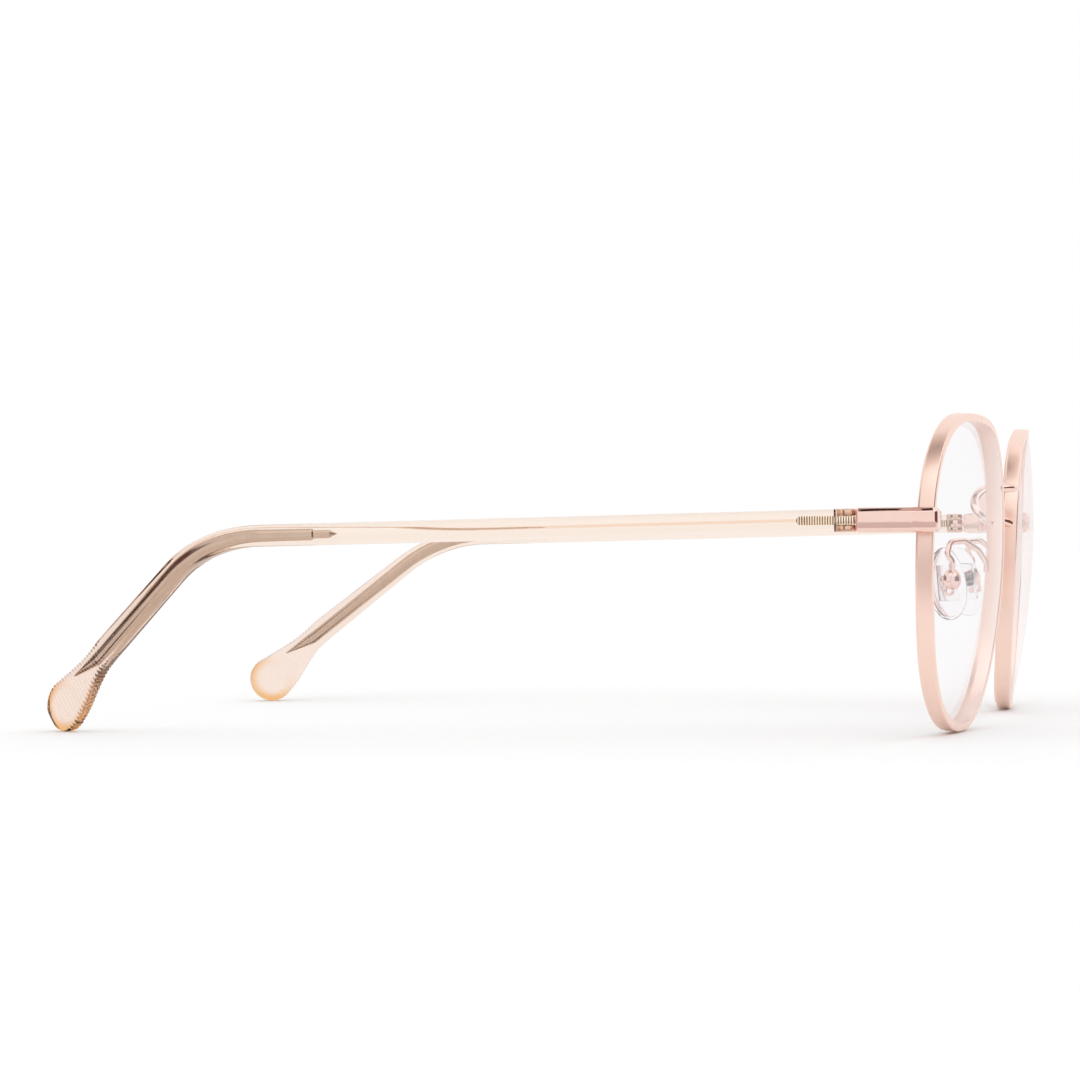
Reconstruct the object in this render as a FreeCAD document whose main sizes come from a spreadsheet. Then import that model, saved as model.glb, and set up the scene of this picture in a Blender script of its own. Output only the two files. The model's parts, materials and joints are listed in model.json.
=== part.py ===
"""Round wire eyeglasses with clear plastic temples.

X runs across the face with the wearer's left at +X, the front looks along -Y and Z is up. The pieces are
drawn about the middle plane of the two lenses, standing on the lower rims and the temple tips, and the whole
is then moved so that the origin lies under its middle. The left half is drawn and the right half mirrors it.
"""
import FreeCAD, Part
import Sketcher
import math
import os

Vector = FreeCAD.Vector

SIZES = [
    # lenses and rims
    ("lens_spacing", 68.8, "from lens centre to lens centre"),
    ("lens_height", 25.1, "lens centre above the ground"),
    ("lens_wrap", 5.1, "degrees each lens turns towards the temple"),
    ("lens_tilt", 3.7, "degrees the lenses lean, tops forward"),
    ("lens_curve", 130.0, "radius of the lenses' base curve"),
    ("lens_thickness", 1.9, "lens at its edge"),
    ("lens_ledge", 0.8, "width of the bevel that sits in the groove"),
    ("outline_radius", 25.6, "mean radius of the rim's outside"),
    ("outline_oval", 0.75, "wider than high"),
    ("outline_square", -0.64, "full shoulders"),
    ("outline_lean", 0.30, "fuller towards the temple's top"),
    ("outline_crown", 0.79, "flatter crown, narrower chin"),
    ("rim_thickness", 0.9, "rim band, radially"),
    ("rim_depth", 2.4, "rim band, front to back"),
    ("groove_depth", 0.45, "lens groove in the rim"),
    ("rim_split", 0.2, "cut where the rim opens"),
    # end piece and rim lock
    ("plate_outside", 64.3, "outer face of the end piece"),
    ("plate_thickness", 1.0, "side plate"),
    ("plate_height", 3.6, "end piece"),
    ("plate_rear", 11.35, "rear edge of the side plate"),
    ("plate_front", -0.3, "front face of the end piece"),
    ("plate_joint", 1.7, "rear of the end piece's front leg"),
    ("plate_corner", 1.6, "outside radius of the corner"),
    ("plate_edge", 0.35, "rounding of the edges on show"),
    ("lock_width", 2.8, "rim lock block across"),
    ("lock_depth", 3.2, "rim lock block front to back"),
    ("lock_inside", 59.5, "rim lock block's inner side, in the rim"),
    ("lock_half", 1.65, "height of each half of the rim lock"),
    ("lock_screw_x", 61.3, "rim lock screw, outside the rim"),
    ("lock_screw_radius", 0.5, "rim lock screw"),
    ("lock_screw_head", 0.75, "rim lock screw head radius"),
    ("lock_gap", 0.02, "between end piece and rim lock"),
    # hinge
    ("axis_x", 61.3, "hinge axis from the middle"),
    ("axis_y", 13.1, "hinge axis behind the lens plane"),
    ("hinge_mid", 32.35, "middle of the hinge above the ground"),
    ("hinge_height", 3.35, "three barrels"),
    ("barrel_height", 1.0, "top and bottom barrels"),
    ("barrel_radius", 1.2, "top and bottom barrels"),
    ("middle_radius", 1.15, "middle barrel"),
    ("middle_height", 1.25, "middle barrel"),
    ("leaf_thickness", 2.2, "block on the end piece"),
    ("leaf_front", 8.4, "front of that block"),
    ("leaf_rear", 11.7, "rear of that block"),
    ("hinge_screw_radius", 0.6, "hinge screw"),
    ("hinge_screw_head", 0.9, "hinge screw head radius"),
    ("head_height", 0.4, "sunk screw heads"),
    ("running_gap", 0.05, "radial play of turning fits"),
    ("foot_front", 14.35, "front of the plate on the temple"),
    ("foot_thickness", 0.4, "that plate"),
    ("tang_inside", 62.55, "inner side of the ribbed tang"),
    ("tang_thickness", 0.85, "tang across"),
    ("tang_height", 1.25, "tang"),
    ("tang_front", 11.95, "tang's front end over the middle barrel"),
    ("tang_rear", 19.8, "centre of the tang's round end"),
    # temples
    ("temple_x", 62.7, "middle of the straight temple"),
    ("temple_height", 3.35, "straight temple"),
    ("temple_thickness", 3.0, "straight temple"),
    ("temple_corner", 0.6, "edge radius of the temple"),
    ("temple_start_z", 32.33, "middle of the temple at the hinge"),
    ("elbow_y", 112.2, "where the two straight runs would meet"),
    ("elbow_z", 30.75, "height of that point"),
    ("tip_x", 48.1, "end of the slope from the middle"),
    ("tip_y", 142.0, "end of the slope behind the lens plane"),
    ("tip_z", 5.1, "end of the slope above the ground"),
    ("bend_radius", 22.0, "bend over the ear"),
    ("tip_radius", 4.15, "round tip"),
    ("tip_drop", 1.25, "round tip below the slope's centreline"),
    ("tip_thickness", 2.2, "round tip"),
    ("tip_step", 0.06, "round tip thicker than the slope beside it"),
    ("core_radius", 0.82, "core wire"),
    ("core_neck", 0.6, "core wire's neck"),
    ("core_start", 76.0, "core point from the temple's front"),
    ("core_shoulder", 79.6, "end of the neck from the temple's front"),
    ("core_end", 133.5, "end of the core wire from the temple's front"),
    # bridge
    ("bridge_wide", 1.35, "half width of the strap at its crown"),
    ("bridge_thin", 0.7, "half thickness of the strap"),
    ("bridge_foot", 0.78, "half width of the strap at the rims"),
    # nose pads
    ("pad_x", 12.3, "pad screw from the middle"),
    ("pad_y", 4.7, "pad screw behind the lens plane"),
    ("pad_z", 22.8, "pad screw above the ground"),
    ("pad_splay", 25.0, "degrees the pads open rearwards"),
    ("pad_flare", 15.0, "degrees the pads open downwards"),
    ("pad_half_length", 6.05, "nose pad"),
    ("pad_half_width", 3.5, "nose pad"),
    ("pad_dome", 2.0, "nose pad thickness"),
    ("pad_back", 1.6, "pad's flat back from the screw"),
    ("arm_radius", 0.5, "pad arm wire"),
    ("box_plate", 0.4, "pad box back plate"),
    ("box_half_length", 1.9, "pad box"),
    ("cheek_inside", 0.85, "pad box cheek from the middle"),
    ("cheek_thickness", 0.4, "pad box cheek"),
    ("cheek_half_length", 0.9, "pad box cheek"),
    ("box_depth", 1.35, "back of the pad box from the screw"),
    ("cheek_reach", 0.75, "cheeks past the screw"),
    ("stud_radius", 0.8, "pad stud about the screw"),
    ("stud_half_width", 0.78, "pad stud"),
    ("pad_screw_radius", 0.4, "pad screw"),
    ("pad_screw_head", 0.95, "pad screw head radius"),
    ("slot_width", 0.3, "screw slots"),
    ("slot_depth", 0.2, "screw slots"),
]

doc = FreeCAD.newDocument("round_eyeglasses")
sheet = doc.addObject("Spreadsheet::Sheet", "sizes")
for row, (alias, value, meaning) in enumerate(SIZES, start=1):
    sheet.set(f"A{row}", alias)
    sheet.set(f"B{row}", str(value))
    sheet.setAlias(f"B{row}", alias)
    sheet.set(f"C{row}", meaning)
doc.recompute()


def size(alias):
    """The number in a named cell."""
    return float(sheet.get(alias))


# ---------------------------------------------------------------- building blocks

def place(thing, x, y, z):
    """Bind a piece's position to the sheet."""
    thing.setExpression("Placement.Base.x", x)
    thing.setExpression("Placement.Base.y", y)
    thing.setExpression("Placement.Base.z", z)
    return thing


def box(name, *spans):
    """A box from three (low, high) pairs of expressions, along X, Y and Z."""
    block = doc.addObject("Part::Box", name)
    for side, (low, high) in zip(("Length", "Width", "Height"), spans):
        block.setExpression(side, f"({high}) - ({low})")
    return place(block, *[low for low, high in spans])


def upright(name, radius, low, high, x="0", y="0"):
    """An upright cylinder between two heights."""
    rod = doc.addObject("Part::Cylinder", name)
    rod.setExpression("Radius", radius)
    rod.setExpression("Height", f"({high}) - ({low})")
    return place(rod, x, y, low)


def crosswise(name, radius, low, high, y="0", z="0"):
    """A cylinder along X between two places."""
    rod = doc.addObject("Part::Cylinder", name)
    rod.setExpression("Radius", radius)
    rod.setExpression("Height", f"({high}) - ({low})")
    rod.Placement = FreeCAD.Placement(Vector(), FreeCAD.Rotation(Vector(0, 1, 0), 90))
    return place(rod, low, y, z)


def fuse(name, pieces):
    """One solid from several that meet."""
    joined = doc.addObject("Part::MultiFuse", name)
    joined.Shapes = pieces
    joined.Refine = True
    return joined


def cut(name, base, tool):
    """The base without the tool."""
    rest = doc.addObject("Part::Cut", name)
    rest.Base = base
    rest.Tool = tool
    return rest


def computed(name, shape):
    """A piece whose shape comes from a formula."""
    piece = doc.addObject("Part::Feature", name)
    piece.Shape = shape
    return piece


def mirrored(piece, name):
    """The wearer's right-hand copy of a left-hand piece."""
    copy = doc.addObject("Part::Mirroring", name)
    copy.Source = piece
    copy.Base = Vector(0, 0, 0)
    copy.Normal = Vector(1, 0, 0)
    return copy


def plane_of(body, role):
    """One of a body's own origin planes."""
    return next(plane for plane in body.Origin.OriginFeatures if plane.Role == role)


def outline(body, name, role, corners):
    """A closed outline on an origin plane, each corner held by two distances bound to the sheet."""
    sketch = body.newObject("Sketcher::SketchObject", name)
    sketch.AttachmentSupport = [(plane_of(body, role), "")]
    sketch.MapMode = "FlatFace"
    points = [Vector(float(sketch.evalExpression(x)), float(sketch.evalExpression(y)), 0) for x, y in corners]
    for index, point in enumerate(points):
        sketch.addGeometry(Part.LineSegment(point, points[(index + 1) % len(points)]))
    for index in range(len(points)):
        sketch.addConstraint(Sketcher.Constraint("Coincident", index, 2, (index + 1) % len(points), 1))
    for index, (x, y) in enumerate(corners):
        for kind, expression, value in (("DistanceX", x, points[index].x), ("DistanceY", y, points[index].y)):
            number = sketch.addConstraint(Sketcher.Constraint(kind, -1, 1, index, 1, value))
            sketch.setExpression(f"Constraints[{number}]", expression)
    return sketch


def screw(name, shank, head, length):
    """A slotted screw: the top of its head is the local origin and its shank runs down."""
    body = doc.addObject("PartDesign::Body", name)
    profile = outline(body, name + "_profile", "XZ_Plane", [
        ("0", f"-{length}"),
        (shank, f"-{length}"),
        (shank, "-sizes.head_height"),
        (head, "-sizes.head_height"),
        (head, "0"),
        ("0", "0"),
    ])
    turned = body.newObject("PartDesign::Revolution", name + "_turned")
    turned.Profile = profile
    turned.ReferenceAxis = (profile, ["V_Axis"])
    turned.Angle = 360
    doc.recompute()
    solid_volume = turned.Shape.Volume
    width = "sizes.slot_width / 2"
    slot_outline = outline(body, name + "_slot_outline", "XY_Plane", [
        (f"-2 * {head}", f"-{width}"),
        (f"2 * {head}", f"-{width}"),
        (f"2 * {head}", width),
        (f"-2 * {head}", width),
    ])
    slot = body.newObject("PartDesign::Pocket", name + "_slot")
    slot.Profile = slot_outline
    slot.setExpression("Length", "sizes.slot_depth")
    doc.recompute()
    assert slot.Shape.Volume < solid_volume, name + " has no slot"
    return body


def rounded_path(points, radius):
    """Straight runs joined by tangent arcs."""
    edges = []
    start = points[0]
    for before, corner, after in zip(points, points[1:], points[2:]):
        back = (before - corner).normalize()
        ahead = (after - corner).normalize()
        half_turn = (math.pi - back.getAngle(ahead)) / 2
        setback = radius * math.tan(half_turn)
        middle = (back + ahead).normalize() * (radius / math.cos(half_turn) - radius)
        enter, leave = corner + back * setback, corner + ahead * setback
        edges += [Part.LineSegment(start, enter).toShape(), Part.Arc(enter, corner + middle, leave).toShape()]
        start = leave
    edges.append(Part.LineSegment(start, points[-1]).toShape())
    return Part.Wire(edges)


def wire_along(path, radius):
    """A round wire of one radius along a path."""
    first = path.Edges[0]
    start = first.valueAt(first.FirstParameter)
    along = first.tangentAt(first.FirstParameter)
    ring = Part.Wire(Part.Circle(start, along, radius).toShape())
    return path.makePipeShell([ring], True, False)


# ---------------------------------------------------------------- lenses and rims

def lens_frame():
    """From the lens's own frame, X to the temple, Y up and Z forward, to the glasses."""
    seat = Vector(size("lens_spacing") / 2, 0, size("lens_height"))
    wrap = FreeCAD.Rotation(Vector(0, 0, 1), size("lens_wrap"))
    tilt = FreeCAD.Rotation(Vector(1, 0, 0), size("lens_tilt"))
    upright_lens = FreeCAD.Rotation(Vector(1, 0, 0), 90)
    return FreeCAD.Placement(seat, tilt.multiply(wrap).multiply(upright_lens))


def outline_point(angle):
    """The rim's outside as a circle with a few gentle waves in its radius."""
    radius = (size("outline_radius")
              + size("outline_oval") * math.cos(2 * angle) + size("outline_square") * math.cos(4 * angle)
              + size("outline_lean") * math.sin(2 * angle) + size("outline_crown") * math.sin(3 * angle))
    return Vector(radius * math.cos(angle), radius * math.sin(angle), 0)


def outline_face(inset):
    """The face inside the rim's outside, drawn in evenly by the inset."""
    count = 48
    points = []
    for step in range(count):
        angle = 2 * math.pi * step / count
        along = outline_point(angle + 0.001) - outline_point(angle - 0.001)
        outward = Vector(along.y, -along.x, 0).normalize()
        points.append(outline_point(angle) - outward * inset)
    curve = Part.BSplineCurve()
    curve.interpolate(Points=points, PeriodicFlag=True)
    return Part.Face(Part.Wire(curve.toShape()))


def prism(inset):
    """The outline carried through from well behind the lens to well in front."""
    reach = 9.0
    block = outline_face(inset).extrude(Vector(0, 0, 2 * reach))
    block.translate(Vector(0, 0, -reach))
    return block


def curved_slice(block, depth):
    """The part of a prism between two spheres a depth apart, centred on the lens curve."""
    curve, edge = size("lens_curve"), size("outline_radius")
    centre = Vector(0, 0, -math.sqrt(curve ** 2 - edge ** 2))
    front = Part.makeSphere(curve + depth / 2, centre)
    rear = Part.makeSphere(curve - depth / 2, centre)
    return block.common(front).cut(rear)


def seated(shape):
    """A shape drawn in the lens's frame, moved to its place in the glasses."""
    shape.transformShape(lens_frame().toMatrix(), True)
    return shape


def rim_shape():
    """The band with its lens groove, split beside the rim lock."""
    thickness = size("rim_thickness")
    band = curved_slice(prism(0).cut(prism(thickness)), size("rim_depth"))
    groove = curved_slice(prism(thickness - size("groove_depth")), size("lens_ledge"))
    band = seated(band.cut(groove))
    split = Part.makeBox(4, 8, size("rim_split"))
    split.translate(Vector(size("lock_inside") - 2, -1, size("hinge_mid") - size("rim_split") / 2))
    return band.cut(split)


def lens_shape():
    """The lens with the bevel that sits in the groove."""
    play = size("running_gap") / 2
    inset = size("rim_thickness") + play
    lens = curved_slice(prism(inset), size("lens_thickness"))
    bevel = curved_slice(prism(inset - size("groove_depth")), size("lens_ledge"))
    return seated(lens.fuse(bevel))


def rim_blank():
    """All the space inside the rim's outside."""
    return seated(prism(0))


# ---------------------------------------------------------------- bridge

def bridge_shape():
    """A saddle strap that leaves the rims rearwards, rises and comes forward over the nose."""
    half = [
        Vector(10.2, -3.0, 31.6),
        Vector(9.0, -1.9, 32.2),
        Vector(7.9, 0.2, 33.2),
        Vector(6.9, 1.3, 35.0),
        Vector(5.5, 0.9, 36.6),
        Vector(3.3, -1.3, 37.6),
        Vector(0.0, -3.7, 37.75),
    ]
    points = half + [Vector(-point.x, point.y, point.z) for point in reversed(half[:-1])]
    spine = Part.BSplineCurve()
    spine.interpolate(points)
    first, last = spine.FirstParameter, spine.LastParameter
    sections = []
    count = 28
    for step in range(count + 1):
        where = first + (last - first) * step / count
        centre = spine.value(where)
        along = Vector(*spine.tangent(where)[0]).normalize()
        crown = 1 - min(abs(centre.x) / 7.0, 1)
        crown = crown * crown * (3 - 2 * crown)
        wide = size("bridge_foot") + (size("bridge_wide") - size("bridge_foot")) * crown
        flat = Vector(0, 1, 0.12) - along * along.dot(Vector(0, 1, 0.12))
        if flat.Length < 0.5:
            flat = along.cross(Vector(1, 0, 0))
        frame = FreeCAD.Rotation(flat, along.cross(flat), along, "ZXY")
        edge = Part.Ellipse(Vector(), wide, size("bridge_thin")).toShape()
        edge.Placement = FreeCAD.Placement(centre, frame)
        sections.append(Part.Wire(edge))
    strap = Part.makeLoft(sections, True, False)
    left = rim_blank()
    return strap.cut(left).cut(left.mirror(Vector(0, 0, 0), Vector(1, 0, 0)))


# ---------------------------------------------------------------- end piece and rim lock

def end_piece(blank):
    """A plate along the temple's line that turns a corner to the rim."""
    body = doc.addObject("PartDesign::Body", "end_piece_body")
    place(body, "0", "0", "sizes.hinge_mid - sizes.plate_height / 2")
    inside = "sizes.plate_outside - sizes.plate_thickness"
    plan = outline(body, "end_piece_plan", "XY_Plane", [
        ("sizes.lock_inside", "sizes.plate_front"),
        ("sizes.plate_outside", "sizes.plate_front"),
        ("sizes.plate_outside", "sizes.plate_rear"),
        (inside, "sizes.plate_rear"),
        (inside, "sizes.plate_joint"),
        ("sizes.lock_inside", "sizes.plate_joint"),
    ])
    bar = body.newObject("PartDesign::Pad", "end_piece_bar")
    bar.Profile = plan
    bar.setExpression("Length", "sizes.plate_height")
    doc.recompute()
    outer = Vector(size("plate_outside"), size("plate_front"), 0)
    inner = Vector(size("plate_outside") - size("plate_thickness"), size("plate_joint"), 0)
    outside_corner = round_edges(body, "end_piece_outside", bar, "sizes.plate_corner",
                                 lambda middle: math.hypot(middle.x - outer.x, middle.y - outer.y) < 0.01)
    inside_corner = round_edges(body, "end_piece_inside", outside_corner,
                                "sizes.plate_corner - sizes.plate_thickness",
                                lambda middle: math.hypot(middle.x - inner.x, middle.y - inner.y) < 0.01)
    turn = Vector(outer.x - size("plate_corner"), outer.y + size("plate_corner"), 0)

    def on_show(middle):
        """Top and bottom edges of the faces that look outwards and forwards."""
        if 0.01 < middle.z < size("plate_height") - 0.01:
            return False
        around = math.hypot(middle.x - turn.x, middle.y - turn.y)
        return (middle.x > outer.x - 0.01 or middle.y < outer.y + 0.01
                or (middle.x > turn.x and middle.y < turn.y and abs(around - size("plate_corner")) < 0.01))

    round_edges(body, "end_piece_edges", inside_corner, "sizes.plate_edge", on_show)
    return cut("end_piece_left", body, blank)


def round_edges(body, name, before, radius, wanted):
    """A fillet on the edges whose middles are wanted."""
    names = []
    for number, edge in enumerate(before.Shape.Edges, start=1):
        if wanted(edge.valueAt((edge.FirstParameter + edge.LastParameter) / 2)):
            names.append(f"Edge{number}")
    fillet = body.newObject("PartDesign::Fillet", name)
    fillet.Base = (before, names)
    fillet.setExpression("Radius", radius)
    doc.recompute()
    return fillet


LOCK_X = "sizes.lock_screw_x"
LOCK_Y = "sizes.plate_joint + sizes.lock_gap + sizes.lock_depth / 2"


def lock_block(name, low, high, sink, blank):
    """Half of the block that closes the rim, bored for its screw."""
    front = "sizes.plate_joint + sizes.lock_gap"
    block = box(name + "_block",
                ("sizes.lock_inside", "sizes.lock_inside + sizes.lock_width"),
                (front, f"{front} + sizes.lock_depth"),
                (low, high))
    bore = upright(name + "_bore", "sizes.lock_screw_radius", f"{low} - 1", f"{high} + 1", LOCK_X, LOCK_Y)
    tools = [bore, blank]
    if sink:
        tools.append(upright(name + "_sink", "sizes.lock_screw_head", f"{low} - 1", f"{low} + sizes.head_height",
                             LOCK_X, LOCK_Y))
    return cut(name, block, fuse(name + "_tools", tools))


def rim_lock(blank):
    """The two lock halves and their screw, which enters from below."""
    middle, gap = "sizes.hinge_mid", "sizes.rim_split / 2"
    upper = lock_block("rim_lock_upper_left", f"{middle} + {gap}", f"{middle} + sizes.lock_half", False, blank)
    lower = lock_block("rim_lock_lower_left", f"{middle} - sizes.lock_half", f"{middle} - {gap}", True, blank)
    bolt = screw("rim_lock_screw_left", "sizes.lock_screw_radius", "sizes.lock_screw_head",
                 "(2 * sizes.lock_half - sizes.slot_depth)")
    bolt.Placement = FreeCAD.Placement(Vector(), FreeCAD.Rotation(Vector(1, 0, 0), 180))
    place(bolt, LOCK_X, LOCK_Y, f"{middle} - sizes.lock_half")
    return [upper, lower, bolt]


# ---------------------------------------------------------------- hinge

AXIS = ("sizes.axis_x", "sizes.axis_y")
TOP = "sizes.hinge_mid + sizes.hinge_height / 2"
BOTTOM = "sizes.hinge_mid - sizes.hinge_height / 2"


def front_hinge():
    """The block on the end piece with the middle barrel."""
    inside = "sizes.plate_outside - sizes.plate_thickness"
    half = "sizes.middle_height / 2"
    levels = (f"sizes.hinge_mid - {half}", f"sizes.hinge_mid + {half}")
    block = box("front_hinge_block",
                (f"{inside} - sizes.leaf_thickness", inside),
                ("sizes.leaf_front", "sizes.leaf_rear"),
                (BOTTOM, TOP))
    neck = box("front_hinge_neck",
               (f"{inside} - sizes.leaf_thickness", "sizes.axis_x + sizes.middle_radius * 0.8"),
               ("sizes.leaf_rear - 0.1", "sizes.axis_y"),
               levels)
    barrel = upright("front_hinge_barrel", "sizes.middle_radius", *levels, *AXIS)
    bore = upright("front_hinge_bore", "sizes.hinge_screw_radius + sizes.running_gap", BOTTOM, TOP, *AXIS)
    return cut("front_hinge_left", fuse("front_hinge_solid", [block, neck, barrel]), bore)


def temple_hinge():
    """The fork with the outer barrels, its plate on the temple's end and the tang inside the temple."""
    pieces = []
    for name, low, high in (("lower", BOTTOM, f"{BOTTOM} + sizes.barrel_height"),
                            ("upper", f"{TOP} - sizes.barrel_height", TOP)):
        pieces.append(upright(f"fork_{name}_barrel", "sizes.barrel_radius", low, high, *AXIS))
        pieces.append(box(f"fork_{name}_arm",
                          ("sizes.axis_x - 0.8", "sizes.axis_x + 1.0"),
                          ("sizes.axis_y", "sizes.foot_front + 0.1"),
                          (low, high)))
    pieces.append(box("fork_plate",
                      ("sizes.temple_x - sizes.temple_thickness / 2 + 0.1", "sizes.tang_inside + sizes.tang_thickness"),
                      ("sizes.foot_front", "sizes.foot_front + sizes.foot_thickness"),
                      (BOTTOM, TOP)))
    tang_low, tang_high = "sizes.tang_inside", "sizes.tang_inside + sizes.tang_thickness"
    tang_levels = ("sizes.hinge_mid - sizes.tang_height / 2", "sizes.hinge_mid + sizes.tang_height / 2")
    pieces.append(box("tang_bar", (tang_low, tang_high), ("sizes.tang_front", "sizes.tang_rear"), tang_levels))
    pieces.append(crosswise("tang_end", "sizes.tang_height / 2", tang_low, tang_high,
                            "sizes.tang_rear", "sizes.hinge_mid"))
    bore = upright("fork_bore", "sizes.hinge_screw_radius", f"{BOTTOM} - 1", f"{TOP} + 1", *AXIS)
    sink = upright("fork_sink", "sizes.hinge_screw_head", f"{TOP} - sizes.head_height", f"{TOP} + 1", *AXIS)
    return cut("temple_hinge_left", fuse("fork_solid", pieces), fuse("fork_tools", [bore, sink]))


def hinge_screw():
    """The screw on the hinge axis."""
    pin = screw("hinge_screw_left", "sizes.hinge_screw_radius", "sizes.hinge_screw_head", "sizes.hinge_height")
    return place(pin, *AXIS, TOP)


# ---------------------------------------------------------------- temple

def temple_corners():
    """Start, elbow and end of the temple's centreline."""
    start = Vector(size("temple_x"), size("foot_front") + size("foot_thickness"), size("temple_start_z"))
    elbow = Vector(size("temple_x"), size("elbow_y"), size("elbow_z"))
    end = Vector(size("tip_x"), size("tip_y"), size("tip_z"))
    return start, elbow, end


class TempleRoute:
    """The centreline: a straight run, an arc and the slope, measured from the temple's front end."""

    def __init__(self):
        self.start, self.elbow, end = temple_corners()
        self.radius = size("bend_radius")
        first, second = self.elbow - self.start, end - self.elbow
        self.ahead = Vector(first).normalize()
        self.down = Vector(second).normalize()
        self.turn = self.ahead.getAngle(self.down)
        self.setback = self.radius * math.tan(self.turn / 2)
        self.run = first.Length - self.setback
        self.bend = self.radius * self.turn
        self.length = self.run + self.bend + second.Length - self.setback

    def at(self, distance):
        """The point and the direction at a distance along the centreline."""
        if distance <= self.run:
            return self.start + self.ahead * distance, self.ahead
        if distance <= self.run + self.bend:
            angle = (distance - self.run) / self.radius
            inward = (self.down - self.ahead * math.cos(self.turn)).normalize()
            centre = self.start + self.ahead * self.run + inward * self.radius
            point = centre + (self.ahead * math.sin(angle) - inward * math.cos(angle)) * self.radius
            return point, self.ahead * math.cos(angle) + inward * math.sin(angle)
        past = distance - self.run - self.bend
        return self.elbow + self.down * (self.setback + past), self.down


def ease(value):
    """A smooth step from 0 to 1."""
    value = min(max(value, 0.0), 1.0)
    return value * value * (3 - 2 * value)


def rounded_section(centre, side, up, half_width, half_height, corner):
    """A rectangle with round corners, across the temple."""
    wide, high = half_width - corner, half_height - corner
    diagonal = corner / math.sqrt(2)
    edges = []
    corners = [(1, 1), (-1, 1), (-1, -1), (1, -1)]
    for index, (right, top) in enumerate(corners):
        middle = centre + side * (right * wide) + up * (top * high)
        first, last = (side * right, up * top) if right == top else (up * top, side * right)
        edges.append(Part.Arc(middle + first * corner, middle + (side * right + up * top) * diagonal,
                              middle + last * corner).toShape())
        after_right, after_top = corners[(index + 1) % 4]
        after = centre + side * (after_right * wide) + up * (after_top * high)
        edges.append(Part.LineSegment(middle + last * corner, after + last * corner).toShape())
    return Part.Wire(edges)


def temple_section(route, distance):
    """The temple's section: an even bar that widens into the round tip."""
    point, along = route.at(distance)
    side = Vector(-along.y, along.x, 0).normalize()
    up = along.cross(side)
    past_tip = distance - route.length
    tip = size("tip_radius")
    stem = size("temple_height") / 2 * (1 + 0.3 * ease((distance - route.run) / 45))
    half_height = stem + (0.97 * tip - stem) * ease((past_tip + 11) / 11)
    thinning = ease((distance - route.run) / (route.length - route.run))
    thinnest = size("tip_thickness") - size("tip_step")
    half_width = (size("temple_thickness") + (thinnest - size("temple_thickness")) * thinning) / 2
    centre = point - up * (size("tip_drop") * ease((past_tip + 14) / 13))
    section = rounded_section(centre, side, up, half_width, half_height, size("temple_corner"))
    return section, centre, side


def temple_shape(route, hinge, core):
    """The clear temple with the hollows that its tang and core wire fill."""
    def bar(distances):
        return Part.makeLoft([temple_section(route, distance)[0] for distance in distances], True, False)

    slope = route.length - route.run - route.bend
    curve = [route.run + route.bend * step / 8 for step in range(9)]
    curve += [route.run + route.bend + slope * step / 10 for step in range(1, 11)]
    _, centre, side = temple_section(route, route.length)
    thickness = size("tip_thickness")
    disc = Part.makeCylinder(size("tip_radius"), thickness, centre - side * (thickness / 2), side)
    disc = disc.makeFillet(0.45 * size("temple_corner"), [disc.Edges[0], disc.Edges[2]])
    return bar([0, route.run]).fuse([bar(curve), disc]).cut(hinge).cut(core)


def core_shape(route):
    """The stiffening wire: a pointed neck, then an even rod through the bend."""
    neck, _ = route.at(size("core_start"))
    shoulder, _ = route.at(size("core_shoulder"))
    end, _ = route.at(size("core_end"))
    rod = wire_along(rounded_path([shoulder, route.elbow, end], route.radius), size("core_radius"))
    point_length = 1.0
    point = Part.makeCone(0.05, size("core_neck"), point_length, neck, route.ahead)
    waist = Part.makeCylinder(size("core_neck"), (shoulder - neck).Length - point_length,
                              neck + route.ahead * point_length, route.ahead)
    return rod.fuse([point, waist]).removeSplitter()


# ---------------------------------------------------------------- nose pads

def pad_frame():
    """The pad screw's own frame: X across the pad from rear to front, Y up the pad, Z to the nose."""
    splay, flare = math.radians(size("pad_splay")), math.radians(size("pad_flare"))
    inward = Vector(-math.cos(splay), math.sin(splay), 0)
    upward = Vector(0, 0, 1)
    face = inward * math.cos(flare) - upward * math.sin(flare)
    length = upward * math.cos(flare) + inward * math.sin(flare)
    turned = FreeCAD.Rotation(length.cross(face), length, face, "ZXY")
    return FreeCAD.Placement(Vector(size("pad_x"), size("pad_y"), size("pad_z")), turned)


def pad_box(frame):
    """A plate with two cheeks that carry the pad screw."""
    outer = "sizes.cheek_inside + sizes.cheek_thickness"
    levels = ("-sizes.box_depth + sizes.box_plate / 2", "sizes.cheek_reach")
    plate = box("pad_box_plate",
                (f"-({outer})", outer),
                ("-sizes.box_half_length", "sizes.box_half_length"),
                ("-sizes.box_depth", "-sizes.box_depth + sizes.box_plate"))
    rear = box("pad_box_rear", (f"-({outer})", "-sizes.cheek_inside"),
               ("-sizes.cheek_half_length", "sizes.cheek_half_length"), levels)
    front = box("pad_box_front", ("sizes.cheek_inside", outer),
                ("-sizes.cheek_half_length", "sizes.cheek_half_length"), levels)
    bore = crosswise("pad_box_bore", "sizes.pad_screw_radius", f"-({outer}) - 1", f"{outer} + 1")
    housing = cut("pad_box_left", fuse("pad_box_solid", [plate, rear, front]), bore)
    housing.Placement = frame
    return housing


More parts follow.
